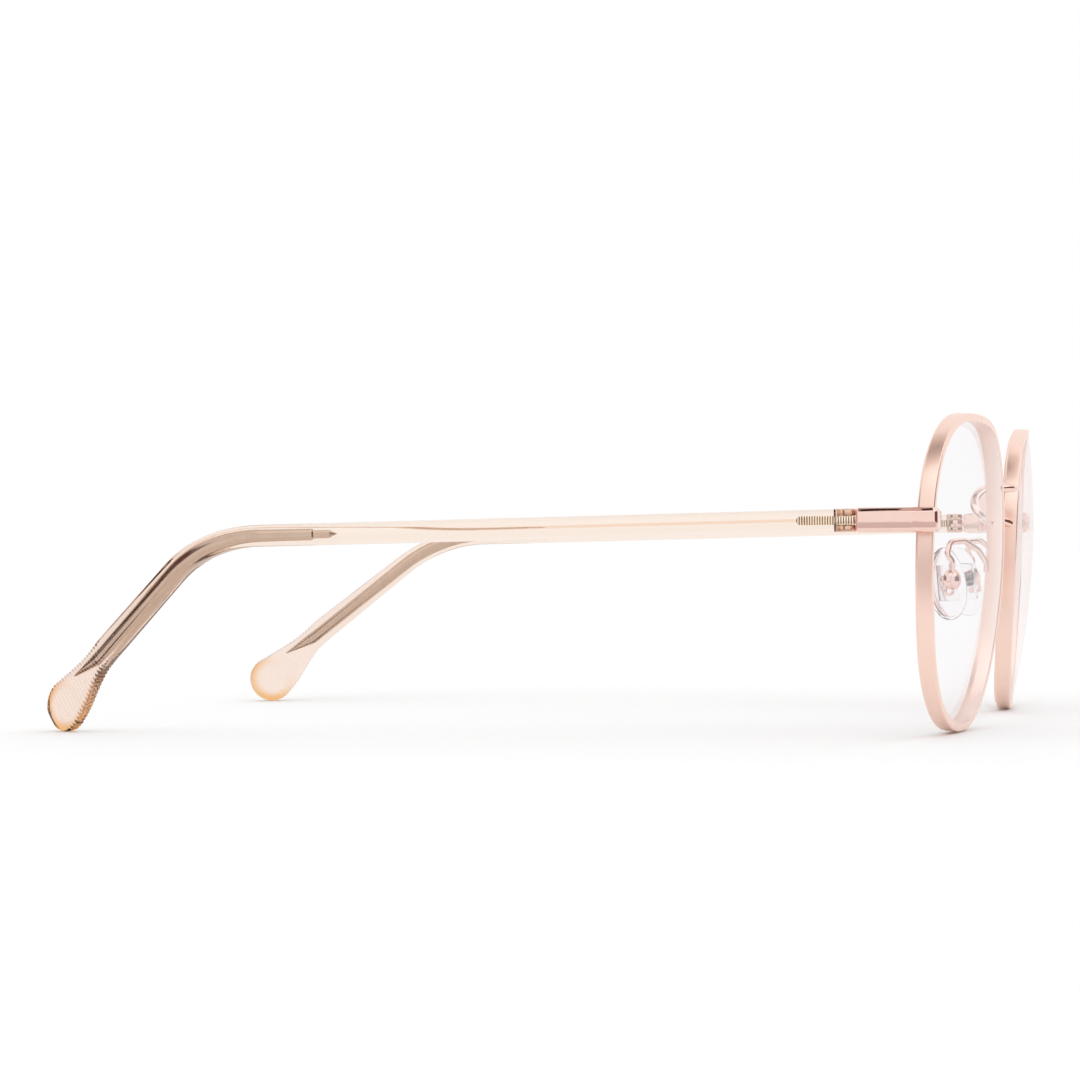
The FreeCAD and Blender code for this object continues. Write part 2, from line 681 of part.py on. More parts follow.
def pad_stud(frame):
    """The lug on the pad's back that turns on the pad screw, with the plate that carries the pad."""
    span = ("-sizes.stud_half_width", "sizes.stud_half_width")
    lug = crosswise("pad_stud_lug", "sizes.stud_radius", *span)
    stem = box("pad_stud_stem", span, ("-sizes.stud_radius", "sizes.stud_radius"),
               ("0", "sizes.pad_back - sizes.box_plate / 2"))
    plate = box("pad_stud_plate",
                ("-sizes.pad_half_width / 2", "sizes.pad_half_width / 2"),
                ("-sizes.pad_half_length / 2", "sizes.pad_half_length / 2"),
                ("sizes.pad_back - sizes.box_plate", "sizes.pad_back"))
    bore = crosswise("pad_stud_bore", "sizes.pad_screw_radius + sizes.running_gap",
                     "-sizes.stud_half_width - 1", "sizes.stud_half_width + 1")
    stud = cut("pad_stud_left", fuse("pad_stud_solid", [lug, stem, plate]), bore)
    stud.Placement = frame
    return stud


def nose_pad(frame):
    """A soft oval with a flat back and a domed face."""
    dome = doc.addObject("Part::Ellipsoid", "nose_pad_dome")
    dome.setExpression("Radius1", "sizes.pad_dome")
    dome.setExpression("Radius2", "sizes.pad_half_width")
    dome.setExpression("Radius3", "sizes.pad_half_length")
    place(dome, "0", "0", "sizes.pad_back")
    behind = box("nose_pad_behind",
                 ("-2 * sizes.pad_half_length", "2 * sizes.pad_half_length"),
                 ("-2 * sizes.pad_half_length", "2 * sizes.pad_half_length"),
                 ("sizes.pad_back - 2 * sizes.pad_half_length", "sizes.pad_back"))
    pad = cut("nose_pad_left", dome, behind)
    pad.Placement = frame
    return pad


def pad_screw(frame):
    """The slotted screw through the pad box, its head to the rear."""
    bolt = screw("pad_screw_left", "sizes.pad_screw_radius", "sizes.pad_screw_head",
                 "(2 * (sizes.cheek_inside + sizes.cheek_thickness) + sizes.head_height)")
    outside = size("cheek_inside") + size("cheek_thickness") + size("head_height")
    lie_down = FreeCAD.Placement(Vector(-outside, 0, 0), FreeCAD.Rotation(Vector(0, 0, 1), Vector(-1, 0, 0)))
    bolt.Placement = frame.multiply(lie_down)
    return bolt


def pad_arm_shape(frame, rim, housing):
    """The bent wire from the rim's rear edge over to the pad box."""
    radius = size("arm_radius")
    behind = -size("box_depth") - radius
    foot = Vector(9.35, -0.75, 25.6)
    route = [
        foot,
        Vector(9.6, 0.5, 27.7),
        Vector(10.7, 2.6, 29.2),
        Vector(12.3, 4.7, 29.0),
        Vector(13.5, 5.0, 27.0),
        frame.multVec(Vector(0, 2.2, behind)),
        frame.multVec(Vector(0, -1.0, behind)),
    ]
    arm = wire_along(rounded_path(route, 0.8), radius)
    half_foot = 1.4
    sole = Part.makeCylinder(radius, 2 * half_foot, foot - Vector(0, 0, half_foot), Vector(0, 0, 1))
    return arm.fuse(sole).cut(rim).cut(housing).removeSplitter()


# ---------------------------------------------------------------- the whole

def build():
    """Every piece of the glasses, the left ones first."""
    blank = computed("rim_blank", rim_blank())
    rim = computed("rim_left", rim_shape())
    left = [rim, computed("lens_left", lens_shape()), end_piece(blank)]
    left += rim_lock(blank)
    left += [front_hinge(), hinge_screw()]
    fork = temple_hinge()
    doc.recompute()
    route = TempleRoute()
    core = core_shape(route)
    left += [fork, computed("core_wire_left", core), computed("temple_left", temple_shape(route, fork.Shape, core))]
    frame = pad_frame()
    housing = pad_box(frame)
    left += [housing, pad_stud(frame), nose_pad(frame), pad_screw(frame)]
    doc.recompute()
    left.append(computed("pad_arm_left", pad_arm_shape(frame, rim.Shape, housing.Shape)))
    bridge = computed("bridge", bridge_shape())
    doc.recompute()
    return left, bridge


def settle(left, bridge):
    """Move the glasses so that the origin is on the ground under their middle, and mirror the left half."""
    extent = FreeCAD.BoundBox()
    for piece in left + [bridge]:
        extent.add(piece.Shape.optimalBoundingBox(False))
    shift = FreeCAD.Placement(Vector(0, -(extent.YMin + extent.YMax) / 2, -extent.ZMin), FreeCAD.Rotation())
    for piece in left + [bridge]:
        for path, expression in piece.ExpressionEngine:
            if path.startswith((".Placement", "Placement")):
                piece.setExpression(path, None)
        piece.Placement = shift.multiply(piece.Placement)
    doc.recompute()
    right = [mirrored(piece, piece.Name.replace("_left", "_right")) for piece in left]
    doc.recompute()
    return left + right + [bridge], shift.Base


def check(pieces):
    """Stop if anything failed to build."""
    for thing in doc.Objects:
        assert not {"Invalid", "Error"} & set(thing.State), f"{thing.Name}: {thing.State}"
    for piece in pieces:
        assert not piece.Shape.isNull() and piece.Shape.isValid(), piece.Label
        assert piece.Shape.Volume > 0, piece.Label
        assert len(piece.Shape.Solids) == 1, f"{piece.Label}: {len(piece.Shape.Solids)} solids"


def export(pieces):
    """One file for each piece."""
    os.makedirs("parts", exist_ok=True)
    for piece in pieces:
        piece.Shape.exportStep(f"parts/{piece.Label}.step")


left_half, nose_bridge = build()
everything, moved = settle(left_half, nose_bridge)
check(everything)
export(everything)
print("moved by", moved)
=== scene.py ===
import json
import math

import bmesh
import bpy
from mathutils import Matrix, Vector


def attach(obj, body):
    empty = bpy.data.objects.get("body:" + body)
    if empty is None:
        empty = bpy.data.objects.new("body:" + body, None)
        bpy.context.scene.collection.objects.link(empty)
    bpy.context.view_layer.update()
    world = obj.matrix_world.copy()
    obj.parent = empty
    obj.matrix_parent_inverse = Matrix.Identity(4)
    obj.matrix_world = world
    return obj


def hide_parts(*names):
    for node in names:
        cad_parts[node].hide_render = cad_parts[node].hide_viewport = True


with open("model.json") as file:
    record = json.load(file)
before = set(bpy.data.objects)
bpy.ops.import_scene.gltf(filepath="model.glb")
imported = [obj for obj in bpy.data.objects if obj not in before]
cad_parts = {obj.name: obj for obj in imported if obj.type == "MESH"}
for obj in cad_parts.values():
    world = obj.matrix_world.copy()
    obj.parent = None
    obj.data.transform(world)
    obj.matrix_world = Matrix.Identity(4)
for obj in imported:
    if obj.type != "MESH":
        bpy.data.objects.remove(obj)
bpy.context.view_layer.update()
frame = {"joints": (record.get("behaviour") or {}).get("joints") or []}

# ---------------------------------------------------------------- sizes, in mm

MM = 0.001
HINGE = Vector((61.3, 13.1, 32.35))
LENS_SEAT = Vector((34.4, 0.0, 25.1))
LENS_WRAP, LENS_TILT = math.radians(5.1), math.radians(3.7)
LENS_CURVE = 130.0
OUTLINE = 25.6
OVAL, SQUARE, SLANT, PANTO = 0.75, 0.64, 0.30, 0.79
RIM_THICKNESS, RIM_DEPTH, RIM_SPLIT = 0.9, 2.4, 0.2
LENS_THICKNESS = 1.9
STRAP_THICKNESS, STRAP_NARROW, STRAP_WIDE, SADDLE_HALF = 1.4, 1.56, 2.7, 7.0
PLATE_OUTSIDE, PLATE_THICKNESS, PLATE_HEIGHT = 64.3, 1.0, 3.6
PLATE_FRONT, PLATE_JOINT, PLATE_REAR, PLATE_CORNER = -0.3, 1.7, 11.35, 1.6
PLATE_STEP, STEP_FRONT, STEP_REAR, PLATE_CHAMFER, PLATE_NOSE = 0.4, 2.9, 3.6, 0.62, 0.9
LOCK_INSIDE, LOCK_WIDTH, LOCK_DEPTH, LOCK_HALF, LOCK_SCREW = 59.5, 2.8, 3.2, 1.65, 61.3
LOCK_PLAY = 0.02
BARREL_RADIUS, BARREL_HEIGHT, HINGE_HEIGHT = 1.2, 1.0, 3.35
MIDDLE_RADIUS, MIDDLE_HALF, HINGE_BLOCK_WIDTH, FORK_FRONT, FORK_REAR = 1.15, 0.62, 2.2, 14.35, 14.75
TANG_FRONT, TANG_REAR, TANG_PITCH, TANG_HALF, TANG_SEAT = 11.95, 20.4, 0.38, 0.625, 62.975
TEMPLE_START = Vector((62.7, 14.75, 32.33))
TEMPLE_ELBOW = Vector((62.7, 112.2, 30.75))
TEMPLE_END = Vector((48.1, 142.0, 5.1))
BEND_RADIUS = 22.0
TEMPLE_HEIGHT, TEMPLE_THICKNESS = 3.35, 3.0
TIP_RADIUS, TIP_THICKNESS, TIP_DROP = 4.15, 2.2, 1.25
RIB_RUN, RIB_PITCH, RIB_DEPTH = 13.0, 0.72, 0.13
CORE_START, CORE_SHOULDER, CORE_END = 76.0, 79.6, 133.5
CORE_NECK, CORE_RADIUS = 0.6, 0.82
CORE_SLANT, TOOTH_PITCH, TOOTH_DEPTH = 5.4, 0.55, 0.07
PAD_SEAT = Vector((12.3, 4.7, 22.8))
PAD_SPLAY, PAD_FLARE = math.radians(25), math.radians(15)
PAD_LENGTH, PAD_WIDTH, PAD_DOME, PAD_BACK = 6.05, 3.5, 2.0, 1.6
STUD_HALF, BOX_BACK, CHEEK_IN, CHEEK_OUT, CHEEK_RADIUS = 0.78, 1.35, 0.85, 1.25, 0.95
ARM_RADIUS, CURL_RADIUS, CURL_THIN = 0.5, 0.62, 0.24

fold = next(joint for joint in frame["joints"] if joint["name"] == "temple_left_fold")
HOME = Matrix.Translation(Vector(fold["pos_m"]) - HINGE * MM) @ Matrix.Scale(MM, 4)
LENS = (Matrix.Translation(LENS_SEAT) @ Matrix.Rotation(LENS_TILT, 4, "X")
        @ Matrix.Rotation(LENS_WRAP, 4, "Z") @ Matrix.Rotation(math.radians(90), 4, "X"))


# ---------------------------------------------------------------- materials

class Link:
    """One output of a node, with the sums that the materials use."""

    def __init__(self, recipe, socket):
        self.recipe = recipe
        self.socket = socket

    def __add__(self, other):
        return self.recipe.sum("ADD", self, other)

    def __sub__(self, other):
        return self.recipe.sum("SUBTRACT", self, other)

    def __rsub__(self, other):
        return self.recipe.sum("SUBTRACT", other, self)

    def __mul__(self, other):
        return self.recipe.sum("MULTIPLY", self, other)

    __radd__, __rmul__ = __add__, __mul__


class Recipe:
    """The nodes of one material."""

    def __init__(self, name):
        self.material = bpy.data.materials.new(name)
        self.material.use_nodes = True
        self.tree = self.material.node_tree
        self.tree.nodes.clear()
        self.place = self.node("ShaderNodeTexCoord", output="Object")

    def node(self, kind, settings=None, inputs=None, output=0):
        made = self.tree.nodes.new(kind)
        for key, value in (settings or {}).items():
            setattr(made, key, value)
        for key, value in (inputs or {}).items():
            if isinstance(value, Link):
                self.tree.links.new(value.socket, made.inputs[key])
            else:
                made.inputs[key].default_value = value
        return Link(self, made.outputs[output]) if len(made.outputs) else made

    def sum(self, operation, first, second):
        return self.node("ShaderNodeMath", {"operation": operation}, {0: first, 1: second})

    def noise(self, scale, detail=3.0, stretch=(1, 1, 1)):
        """A noise pattern, its scale in lumps a metre."""
        place = self.node("ShaderNodeMapping", {}, {"Vector": self.place, "Scale": stretch})
        return self.node("ShaderNodeTexNoise", {}, {"Vector": place, "Scale": scale, "Detail": detail})

    def blend(self, factor, first, second):
        return self.node("ShaderNodeMix", {"data_type": "RGBA"},
                         {0: factor, 6: (*first, 1), 7: (*second, 1)}, output=2)

    def bump(self, pattern, height):
        return self.node("ShaderNodeBump", {}, {"Height": pattern, "Strength": 1.0, "Distance": height})

    def finish(self, surface, volume=None):
        inputs = {"Surface": surface}
        if volume:
            inputs["Volume"] = volume
        self.node("ShaderNodeOutputMaterial", {}, inputs)
        return self.material


def metal(name, light, shade, rough, grain):
    """Plated metal: a little uneven in colour and polish, with fine polishing grain."""
    recipe = Recipe(name)
    clouds = recipe.noise(420)
    colour = recipe.blend(clouds, light, shade)
    lines = recipe.noise(5200, 2.0, (0.35, 1, 1))
    surface = recipe.node("ShaderNodeBsdfPrincipled", {}, {
        "Base Color": colour, "Metallic": 1.0, "Roughness": rough + clouds * 0.08,
        "Normal": recipe.bump(lines, grain * MM)})
    return recipe.finish(surface)


def clear(name, tint, ior, rough, ripple, coat=0.0):
    """Clear silicone or lens plastic, hardly tinted."""
    recipe = Recipe(name)
    ripples = recipe.noise(260, 2.0)
    colour = recipe.blend(ripples, tint, [0.99 * part for part in tint])
    surface = recipe.node("ShaderNodeBsdfPrincipled", {}, {
        "Base Color": colour, "Transmission Weight": 1.0, "IOR": ior,
        "Roughness": rough + ripples * rough, "Normal": recipe.bump(ripples, ripple * MM),
        "Coat Weight": coat, "Coat IOR": 1.3, "Coat Roughness": 0.01})
    return recipe.finish(surface)


def peach_plastic(tip, down):
    """Clear peach acetate: deeper in colour towards the tip, with a painted deep-orange glow round the
    tip's end that stands in for light reflected inside the plastic's edge.
    """
    recipe = Recipe("clear_peach")
    parts = recipe.node("ShaderNodeVectorMath", {"operation": "SUBTRACT"}, {0: recipe.place, 1: tip})
    rearward = recipe.node("ShaderNodeSeparateXYZ", {}, {"Vector": parts}, output="Y")
    upward = recipe.node("ShaderNodeSeparateXYZ", {}, {"Vector": parts}, output="Z")
    deeper = recipe.node("ShaderNodeMapRange", {"interpolation_type": "SMOOTHSTEP"},
                         {"Value": rearward, "From Min": -0.055, "From Max": -0.004})
    flat = recipe.node("ShaderNodeCombineXYZ", {}, {"X": 0.0, "Y": rearward, "Z": upward})
    away = recipe.node("ShaderNodeVectorMath", {"operation": "LENGTH"}, {0: flat}, output="Value")
    # Painted light: the masks below pick out the rim of the tip's end for the painted glow.
    edge = recipe.node("ShaderNodeMapRange", {"interpolation_type": "SMOOTHSTEP"},
                       {"Value": away, "From Min": 0.0022, "From Max": 0.0037})
    glow_end = recipe.node("ShaderNodeMapRange", {"interpolation_type": "SMOOTHSTEP"},
                         {"Value": rearward * down.y + upward * down.z,
                          "From Min": -0.0035, "From Max": 0.0015})
    colour = recipe.blend(deeper, (0.992, 0.973, 0.990), (0.948, 0.862, 0.842))
    clouds = recipe.noise(160, 2.0)
    # Painted glow: deep orange mixed into the colour round the tip's end, standing in for light caught
    # inside the plastic.
    painted_edge_glow = recipe.node("ShaderNodeMix", {"data_type": "RGBA"},
                        {0: edge * glow_end * 0.8, 6: colour, 7: (0.90, 0.46, 0.09, 1)}, output=2)
    surface = recipe.node("ShaderNodeBsdfPrincipled", {}, {
        "Base Color": painted_edge_glow, "Transmission Weight": 1.0, "IOR": 1.48,
        "Roughness": 0.008 + clouds * 0.012, "Normal": recipe.bump(clouds, 0.0008 * MM)})
    depth = recipe.node("ShaderNodeVolumeAbsorption", {},
                        {"Color": (0.90, 0.50, 0.05, 1), "Density": 100.0})
    return recipe.finish(surface, depth)


def ribbed_gold_with_painted_groove_shade(front, pitch):
    """Bright gold with painted shade: the colour darkens in the grooves between the ribs, where shade
    falls.
    """
    recipe = Recipe("tang_gold_painted_groove_shade")
    along = recipe.node("ShaderNodeSeparateXYZ", {}, {"Vector": recipe.place}, output="Y")
    # Painted shade: a wave along Y, in step with the ribs, darkens the colour in the grooves between
    # them.
    wave = recipe.sum("COSINE", (along - front) * (2 * math.pi / pitch), 0.0)
    groove = recipe.node("ShaderNodeMapRange", {"interpolation_type": "SMOOTHSTEP"},
                         {"Value": wave, "From Min": 0.1, "From Max": 0.9})
    grain = recipe.noise(3000)
    colour = recipe.blend(groove, (0.99, 0.90, 0.74), (0.62, 0.45, 0.30))
    surface = recipe.node("ShaderNodeBsdfPrincipled", {}, {
        "Base Color": colour, "Metallic": 1.0, "Roughness": 0.16 + grain * 0.10,
        "Normal": recipe.bump(grain, 0.0005 * MM)})
    return recipe.finish(surface)


ROSE_GOLD = metal("rose_gold", (0.97, 0.74, 0.64), (0.95, 0.69, 0.59), 0.28, 0.0002)
BRIGHT_ROSE = metal("bright_rose_gold", (0.94, 0.69, 0.61), (0.90, 0.63, 0.55), 0.03, 0.0002)
HINGE_GOLD = metal("hinge_gold", (0.84, 0.61, 0.48), (0.70, 0.48, 0.36), 0.04, 0.0004)
TANG_GOLD_PAINTED_SHADE = ribbed_gold_with_painted_groove_shade((HOME @ Vector((0, TANG_FRONT, 0))).y, TANG_PITCH * MM)
CORE_GOLD = metal("core_gold", (0.66, 0.54, 0.44), (0.58, 0.46, 0.37), 0.10, 0.0003)
SCREW_STEEL = metal("screw_steel", (0.88, 0.72, 0.66), (0.74, 0.60, 0.55), 0.10, 0.0006)
SILICONE = clear("clear_silicone", (0.982, 0.974, 0.980), 1.22, 0.05, 0.0030)
LENS_CLEAR = clear("lens_clear", (0.966, 0.952, 0.964), 1.0, 0.0005, 0.0, 0.8)


# ---------------------------------------------------------------- making pieces

def show(name, bm, material, slot, body, nodes, levels=0, sharp=35):
    """Puts a mesh that is drawn in mm into its place, and lets it stand for CAD nodes."""
    bmesh.ops.recalc_face_normals(bm, faces=bm.faces)
    bmesh.ops.transform(bm, matrix=HOME, verts=bm.verts)
    mesh = bpy.data.meshes.new(name)
    bm.to_mesh(mesh)
    bm.free()
    mesh.shade_smooth()
    mesh.set_sharp_from_angle(angle=math.radians(sharp))
    piece = bpy.data.objects.new(name, mesh)
    bpy.context.scene.collection.objects.link(piece)
    piece.data.materials.append(material)
    if levels:
        smoother = piece.modifiers.new("smoother", "SUBSURF")
        smoother.levels = smoother.render_levels = levels
    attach(piece, body)
    if nodes:
        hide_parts(*nodes)
    return piece


def pair(name, make, material, slot, body, nodes=(), **extras):
    """A left piece and its mirror image."""
    for side in ("left", "right"):
        bm = bmesh.new()
        make(bm)
        if side == "right":
            bmesh.ops.scale(bm, vec=(-1, 1, 1), verts=bm.verts)
        show(f"{name}_{side}", bm, material, slot, body.format(side=side),
             [f"{node}_{side}" for node in nodes], **extras)


def soften(bm, width, segments=3, angle=35.0, edges=None):
    """Rounds the sharp edges."""
    chosen = [edge for edge in (edges or bm.edges)
              if len(edge.link_faces) == 2 and edge.calc_face_angle() > math.radians(angle)]
    bmesh.ops.bevel(bm, geom=chosen, offset=width, offset_type="OFFSET", affect="EDGES",
                    segments=segments, profile=0.5, material=-1, clamp_overlap=True)


def block(bm, low, high, width=0.0, matrix=Matrix()):
    """A box between two corners with rounded edges."""
    low, high = Vector(low), Vector(high)
    made = bmesh.ops.create_cube(bm, size=1.0)["verts"]
    size = Matrix.Diagonal((*(high - low), 1))
    bmesh.ops.transform(bm, matrix=matrix @ Matrix.Translation((low + high) / 2) @ size, verts=made)
    if width:
        soften(bm, width, 3, 35, list({edge for vert in made for edge in vert.link_edges}))


def barrel(bm, radius, bottom, top, width=0.1, matrix=Matrix(), segments=48):
    """A round bar along Z with rounded ends."""
    made = bmesh.ops.create_cone(bm, cap_ends=True, segments=segments, radius1=radius, radius2=radius,
                                 depth=top - bottom)["verts"]
    seat = matrix @ Matrix.Translation((0, 0, (bottom + top) / 2))
    bmesh.ops.transform(bm, matrix=seat, verts=made)
    if width:
        soften(bm, width, 3, 35, list({edge for vert in made for edge in vert.link_edges}))
    return made


def slotted_head(bm, radius, height, matrix, slot=0.3, dome=0.3):
    """A screw's head, its underside at the origin, its slot along Y."""
    made = barrel(bm, radius, 0, height, 0, matrix)
    faces = {face for vert in made for face in vert.link_faces}
    axis = (matrix.to_3x3() @ Vector((0, 0, 1))).normalized()
    top = max(faces, key=lambda face: axis.dot(face.calc_center_median()))
    bmesh.ops.bevel(bm, geom=list(top.edges), offset=dome * radius, affect="EDGES", segments=4,
                    profile=0.5, material=-1, clamp_overlap=True)
    level = max(axis.dot(face.calc_center_median()) for face in bm.faces)
    for side in (-1, 1):
        across = matrix.to_3x3() @ Vector((side, 0, 0))
        lids = [face for face in bm.faces if axis.dot(face.calc_center_median()) > level - 1e-4
                and abs(face.normal.dot(axis)) > 0.9]
        geometry = lids + list({edge for face in lids for edge in face.edges})
        geometry += list({vert for face in lids for vert in face.verts})
        wall = matrix @ Vector((side * slot / 2, 0, 0))
        bmesh.ops.bisect_plane(bm, geom=geometry, dist=1e-5, plane_co=wall, plane_no=across)
    middle = matrix @ Vector((0, 0, height))
    across = (matrix.to_3x3() @ Vector((1, 0, 0))).normalized()
    lid = [face for face in bm.faces if axis.dot(face.calc_center_median() - middle) > -1e-3
           and abs(across.dot(face.calc_center_median() - middle)) < slot / 2
           and (face.calc_center_median() - middle).length < radius]
    bmesh.ops.inset_region(bm, faces=lid, thickness=0.02, depth=-0.2 * height, use_boundary=True,
                           use_even_offset=True)


def sweep(bm, stations, segments=24, squareness=2.0):
    """Carries a closed outline through stations, which are matrices, and closes the ends."""
    loop = bmesh.ops.create_circle(bm, cap_ends=False, segments=segments, radius=1.0)["verts"]
    seats = {}
    for vert in loop:
        wide, high = (math.copysign(abs(value) ** (2 / squareness), value) for value in vert.co.xy)
        seats[vert] = Vector((wide, high, 0))
        vert.co = stations[0] @ seats[vert]
    edges = list({edge for vert in loop for edge in vert.link_edges})
    for station in stations[1:]:
        made = bmesh.ops.extrude_edge_only(bm, edges=edges)["geom"]
        fresh = {}
        for vert in (part for part in made if isinstance(part, bmesh.types.BMVert)):
            before = next(edge.other_vert(vert) for edge in vert.link_edges
                          if edge.other_vert(vert) in seats)
            fresh[vert] = seats[before]
            vert.co = station @ seats[before]
        edges = [part for part in made if isinstance(part, bmesh.types.BMEdge)
                 and part.verts[0] in fresh and part.verts[1] in fresh]
        seats = fresh
    bmesh.ops.holes_fill(bm, edges=[edge for edge in bm.edges if edge.is_boundary], sides=0)


def station(centre, side, up, half_side, half_up):
    """A section's place: its half sizes along two directions across the sweep."""
    turned = Matrix((side * half_side, up * half_up, side.cross(up))).transposed()
    return Matrix.Translation(centre) @ turned.to_4x4()


def rounded(points, radius, step=0.25):
    """A path of straight runs with its corners rounded, as (point, direction) at even steps."""
    places = []
    start = points[0]
    for before, corner, after in zip(points, points[1:], points[2:]):
        inward, outward = (corner - before).normalized(), (after - corner).normalized()
        turn = inward.angle(outward)
        shortest = min((corner - before).length, (after - corner).length)
        setback = min(radius * math.tan(turn / 2), 0.45 * shortest)
        bend = setback / math.tan(turn / 2)
        entry = corner - inward * setback
        count = max(int((entry - start).length / step), 1)
        places += [(start.lerp(entry, index / count), inward) for index in range(count)]
        towards = (outward - inward * inward.dot(outward)).normalized()
        count = max(int(bend * turn / step), 4)
        for index in range(count):
            angle = turn * index / count
            place = entry + (inward * math.sin(angle) + towards * (1 - math.cos(angle))) * bend
            places.append((place, inward * math.cos(angle) + towards * math.sin(angle)))
        start = corner + outward * setback
    last = points[-1]
    count = max(int((last - start).length / step), 1)
    places += [(start.lerp(last, index / count), outward) for index in range(count + 1)]
    return places


def wire(bm, places, radius, segments=20):
    """A round wire along a path, turned as little as the path allows."""
    side = places[0][1].orthogonal().normalized()
    stations = []
    for point, along in places:
        side = (side - along * along.dot(side)).normalized()
        up = along.cross(side)
        stations.append(station(point, side, up, radius, radius))
    sweep(bm, stations, segments)


# ---------------------------------------------------------------- rims and lenses

def lens_point(angle, inset, share, depth):
    """A point of the lens's curve: share of the way out to the outline, at a depth from its middle."""
    reach = (OUTLINE + OVAL * math.cos(2 * angle) - SQUARE * math.cos(4 * angle)
             + SLANT * math.sin(2 * angle) + PANTO * math.sin(3 * angle))
    reach = (reach - inset) * share
    height = math.sqrt((LENS_CURVE + depth) ** 2 - reach ** 2) - math.sqrt(LENS_CURVE ** 2 - OUTLINE ** 2)
    return LENS @ Vector((reach * math.cos(angle), reach * math.sin(angle), height))


def curved_band(bm, turns, layers, place):
    """A grid wrapped by a function of two values from 0 to 1."""
    bmesh.ops.create_grid(bm, x_segments=turns, y_segments=layers, size=0.5)
    for vert in bm.verts:
        vert.co = place(vert.co.x + 0.5, vert.co.y + 0.5)


def rim(bm):
    """The flat band, open by a hair where the rim lock closes it."""
    lock = math.atan2(HINGE.z - LENS_SEAT.z, OUTLINE)
    gap = RIM_SPLIT / 2 / OUTLINE

    def wall(inset):
        def place(turn, layer):
            angle = lock + gap + turn * (2 * math.pi - 2 * gap)
            return lens_point(angle, inset, 1, (layer - 0.5) * RIM_DEPTH)
        return place

    curved_band(bm, 288, 2, wall(0))
    faces = list(bm.faces)
    inner = bmesh.ops.duplicate(bm, geom=bm.verts[:] + bm.edges[:] + faces)["geom"]
    verts = [part for part in inner if isinstance(part, bmesh.types.BMVert)]
    middle = LENS @ Vector((0, 0, 0))
    normal = (LENS.to_3x3() @ Vector((0, 0, 1))).normalized()
    for vert in verts:
        outward = vert.co - middle
        outward = (outward - normal * normal.dot(outward)).normalized()
        vert.co -= outward * RIM_THICKNESS
    bmesh.ops.bridge_loops(bm, edges=[edge for edge in bm.edges if edge.is_boundary])
    soften(bm, 0.27, 4, 50)


def lens(bm):
    """The lens: two curved faces and a narrow edge."""
    for depth in (LENS_THICKNESS / 2, -LENS_THICKNESS / 2):
        sheet = bmesh.new()
        curved_band(sheet, 192, 20, lambda turn, layer: lens_point(
            turn * 2 * math.pi, RIM_THICKNESS - 0.05, layer, depth))
        bmesh.ops.remove_doubles(sheet, verts=sheet.verts, dist=1e-4)
        mesh = bpy.data.meshes.new("lens_face")
        sheet.to_mesh(mesh)
        sheet.free()
        bm.from_mesh(mesh)
        bpy.data.meshes.remove(mesh)
    bmesh.ops.bridge_loops(bm, edges=[edge for edge in bm.edges if edge.is_boundary])


pair("rim_band", rim, ROSE_GOLD, "rose_gold", "front", ["rim"])
pair("lens_clear", lens, LENS_CLEAR, "lens", "front", ["lens"])


# ---------------------------------------------------------------- bridge

def bridge(bm):
    """The saddle strap, from rim to rim."""
    half = [Vector(point) for point in (
        (9.5, -2.4, 31.9), (9.0, -1.9, 32.2), (7.9, 0.2, 33.2), (6.9, 1.3, 35.0),
        (5.5, 0.9, 36.6), (3.3, -1.3, 37.6), (0.0, -3.7, 37.75))]
    points = half + [Vector((-point.x, point.y, point.z)) for point in reversed(half[:-1])]
    route = bpy.data.curves.new("bridge_route", "CURVE")
    route.dimensions = "3D"
    spline = route.splines.new("BEZIER")
    spline.bezier_points.add(len(points) - 1)
    for knot, point in zip(spline.bezier_points, points):
        knot.co = point
        knot.handle_left_type = knot.handle_right_type = "AUTO"
    spline.resolution_u = 12
    holder = bpy.data.objects.new("bridge_route", route)
    bpy.context.scene.collection.objects.link(holder)
    line = [vert.co.copy() for vert in bpy.data.meshes.new_from_object(holder).vertices]
    bpy.data.objects.remove(holder)
    stations = []
    for index, point in enumerate(line):
        along = (line[min(index + 1, len(line) - 1)] - line[max(index - 1, 0)]).normalized()
        crown = 1 - min(abs(point.x) / SADDLE_HALF, 1)
        crown = crown * crown * (3 - 2 * crown)
        wide = STRAP_NARROW + (STRAP_WIDE - STRAP_NARROW) * crown
        flat = Vector((0, 1, 0.12))
        flat = (flat - along * along.dot(flat)).normalized()
        stations.append(station(point, flat, along.cross(flat), wide / 2, STRAP_THICKNESS / 2))
    sweep(bm, stations, 32, 2.6)


strap = bmesh.new()
bridge(strap)
show("bridge_strap", strap, BRIGHT_ROSE, "rose_gold", "front", ["bridge"])


# ---------------------------------------------------------------- end pieces, rim locks and hinges

